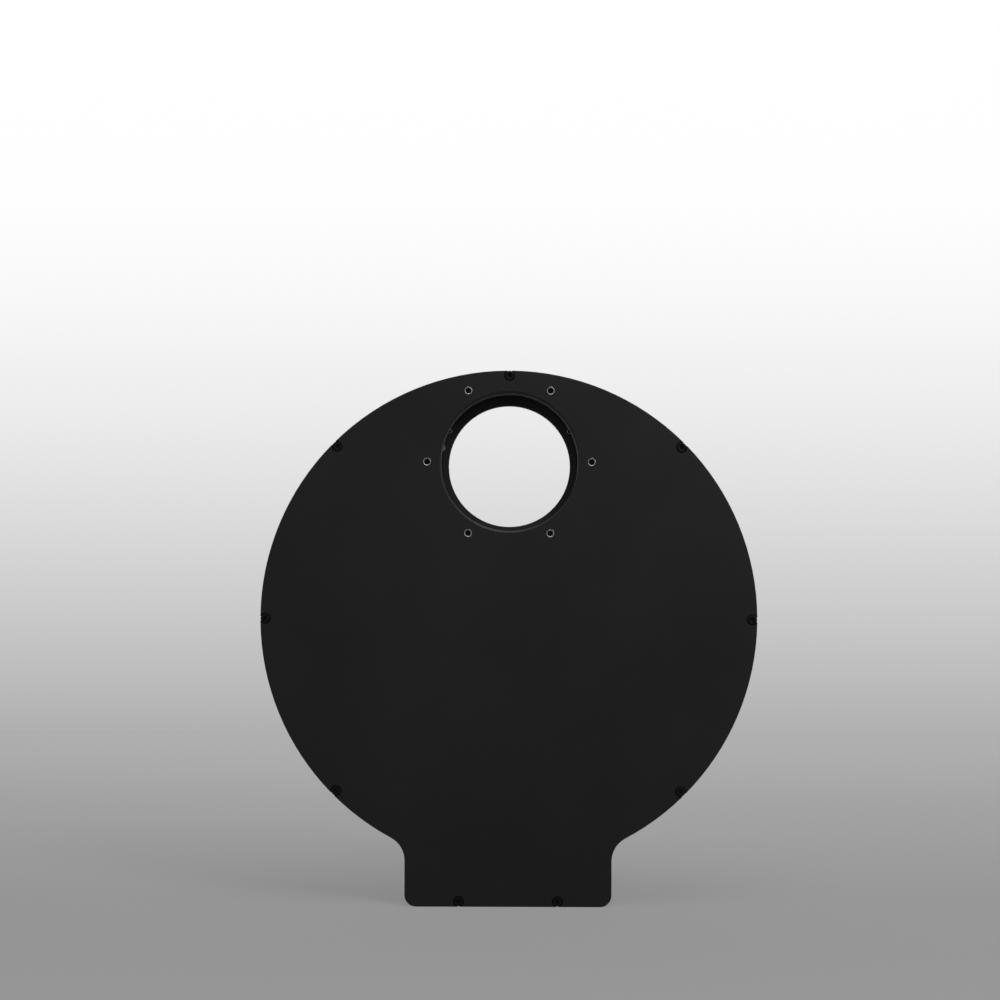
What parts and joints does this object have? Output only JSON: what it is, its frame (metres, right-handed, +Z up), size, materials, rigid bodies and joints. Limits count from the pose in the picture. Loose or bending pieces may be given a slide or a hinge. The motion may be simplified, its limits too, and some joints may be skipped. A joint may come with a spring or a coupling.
{
  "type": "optical filter wheel",
  "caption": "Round black filter wheel housing with a short tongue, an off-centre threaded light port front and rear, and a geared carousel of round filter seats turned by a small stepper motor.",
  "frame": {"origin": "on the optical axis at the front face, the face turned towards the telescope", "axes": "+X to the right seen from the front, +Y along the light path from the front port to the rear port, +Z up with the tongue at the bottom"},
  "size_m": [0.192, 0.02, 0.2072],
  "materials": {
    "anodised_black": "fine bead-blasted black anodised aluminium, satin",
    "carousel_black": "turned and black anodised aluminium, matt",
    "black_steel": "black oxide steel screws",
    "bearing_steel": "ground bearing steel",
    "bare_steel": "machined steel",
    "nickel": "bright nickel plate",
    "zinc_steel": "zinc-plated sheet steel",
    "bronze": "sintered bronze",
    "copper_winding": "enamelled copper wire winding",
    "ferrite": "dark ferrite",
    "white_acetal": "natural acetal",
    "board_green": "green solder mask over glass-fibre laminate",
    "chip_black": "moulded epoxy",
    "ceramic_tan": "ceramic chip parts with tinned ends",
    "connector_white": "nylon connector",
    "ribbon_amber": "polyimide film",
    "lead_black": "black sleeve over four wires"
  },
  "bodies": {
    "housing": {"rear_housing": "anodised_black", "front_cover": "anodised_black", "cover_screws": "black_steel", "axle": "bare_steel", "axle_screw": "black_steel", "bearing_inner_races": "bearing_steel", "race_spacer": "bare_steel", "motor_can": "zinc_steel", "motor_flange": "zinc_steel", "motor_stator": "copper_winding", "motor_bushes": "bronze", "motor_screws": "bare_steel", "motor_terminal": "chip_black", "control_board": "board_green", "board_screws": "bare_steel", "control_chips": "chip_black", "small_components": "ceramic_tan", "socket_shell": "nickel", "socket_contacts": "chip_black", "motor_connector": "connector_white", "sensor_connector": "connector_white", "motor_lead": "lead_black", "sensor_board": "board_green", "magnetic_sensor": "chip_black", "sensor_lead": "ribbon_amber"},
    "carousel": {"carousel": "carousel_black", "index_magnets": "nickel", "bearing_outer_races": "bearing_steel"},
    "motor_rotor": {"motor_shaft": "bare_steel", "rotor_magnet": "ferrite", "drive_pinion": "white_acetal"}
  },
  "joints": [
    {"name": "carousel_spin", "type": "hinge", "parent": "housing", "child": "carousel", "pos_m": [0, 0.0106, -0.0607], "axis": [0, 1, 0], "continuous": true},
    {"name": "pinion_spin", "type": "hinge", "parent": "housing", "child": "motor_rotor", "pos_m": [0.018, 0.0103, -0.15805], "axis": [0, 1, 0], "continuous": true}
  ],
  "couplings": [
    {"joint": "pinion_spin", "follows": "carousel_spin", "ratio": -10}
  ]
}
